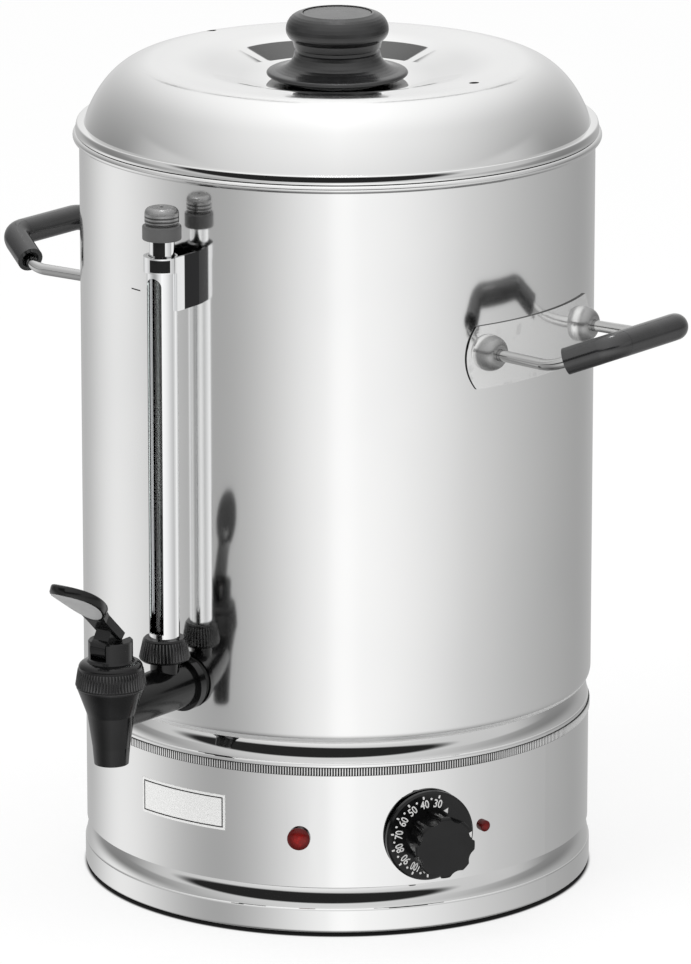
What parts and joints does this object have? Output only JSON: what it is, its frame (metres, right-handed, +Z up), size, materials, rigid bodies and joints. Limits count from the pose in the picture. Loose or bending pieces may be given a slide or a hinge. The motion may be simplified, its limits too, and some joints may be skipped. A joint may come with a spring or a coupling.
{
  "type": "hot water dispenser",
  "caption": "Free-standing steel catering urn for hot water with a lift-off lid, side handles, sight gauge, sprung lever tap and a panel with lamps and a temperature dial.",
  "frame": {"origin": "on the tank's axis, in the plane the feet stand on", "axes": "+Z up along the tank's axis, the tap points to -Y, the handles lie near +X and -X"},
  "size_m": [0.4172, 0.3795, 0.4616],
  "materials": {
    "polished_steel": "mirror polished stainless sheet",
    "knurled_steel": "rolled knurl",
    "inner_steel": "plain zinc-plated steel",
    "chromed_tube": "bright chrome",
    "heater_aluminium": "cast and machined",
    "black_plastic": "satin black",
    "black_gloss": "glossy black",
    "grey_plastic": "metallic grey",
    "ivory_plastic": "moulded ivory",
    "red_lens": "clear red",
    "black_rubber": "matt",
    "brass": "turned",
    "copper": "drawn copper",
    "glass": "clear tube"
  },
  "bodies": {
    "urn": {"tank": "polished_steel", "base_shell": "polished_steel", "knurled_band": "knurled_steel", "base_plate": "inner_steel", "rubber_feet": "black_rubber", "foot_screws": "inner_steel", "foot_nuts": "inner_steel", "tie_rods": "inner_steel", "tie_nuts": "inner_steel", "heater_plate": "heater_aluminium", "heating_element": "inner_steel", "thermal_cutout": "ivory_plastic", "thermostat_body": "inner_steel", "thermostat_screws": "inner_steel", "sensor_bulb": "copper", "terminal_block": "ivory_plastic", "heating_lamp_lens": "red_lens", "heating_lamp_housing": "black_plastic", "power_lamp_lens": "red_lens", "power_lamp_housing": "black_plastic", "power_inlet": "black_plastic", "inlet_pins": "brass", "inlet_screws": "inner_steel", "right_handle_plate": "polished_steel", "right_handle_rod": "polished_steel", "right_handle_grip": "black_gloss", "left_handle_plate": "polished_steel", "left_handle_rod": "polished_steel", "left_handle_grip": "black_gloss", "gauge_bracket": "polished_steel", "gauge_guard": "chromed_tube", "gauge_glass": "glass", "gauge_neck": "chromed_tube", "gauge_cap": "grey_plastic", "gauge_nut": "black_plastic", "gauge_seal": "black_rubber", "tap_body": "black_gloss", "tap_outer_gasket": "black_rubber", "tap_inner_gasket": "black_rubber", "tap_lock_nut": "brass", "tap_bonnet": "black_plastic"},
    "lid": {"lid": "polished_steel", "lid_knob": "black_plastic", "knob_cap": "grey_plastic", "knob_screw": "inner_steel", "knob_washer": "inner_steel"},
    "stem": {"valve_stem": "black_plastic", "valve_cup": "black_rubber", "valve_spring": "inner_steel", "lever_pin": "inner_steel"},
    "lever": {"tap_lever": "black_gloss"},
    "dial": {"dial_skirt": "black_plastic", "dial_grip": "black_gloss", "thermostat_shaft": "brass"}
  },
  "joints": [
    {"name": "lid_lift", "type": "slide", "parent": "urn", "child": "lid", "axis": [0, 0, 1], "range_m": [0, 0.3]},
    {"name": "stem_lift", "type": "slide", "parent": "urn", "child": "stem", "axis": [0, 0, 1], "range_m": [0, 0.00311], "deforming": ["valve_spring"]},
    {"name": "lever_tip", "type": "hinge", "parent": "stem", "child": "lever", "pos_m": [0, -0.199, 0.164], "axis": [1, 0, 0], "range_deg": [0, 30], "stiffness_Nm_per_rad": 0.4, "springref_deg": -5.73},
    {"name": "dial_turn", "type": "hinge", "parent": "urn", "child": "dial", "pos_m": [0.11607, -0.07829, 0.053], "axis": [-0.829, 0.5592, 0], "range_deg": [0, 270]}
  ],
  "couplings": [
    {"joint": "lever_tip", "follows": "stem_lift", "rad_per_m": 168.58}
  ]
}
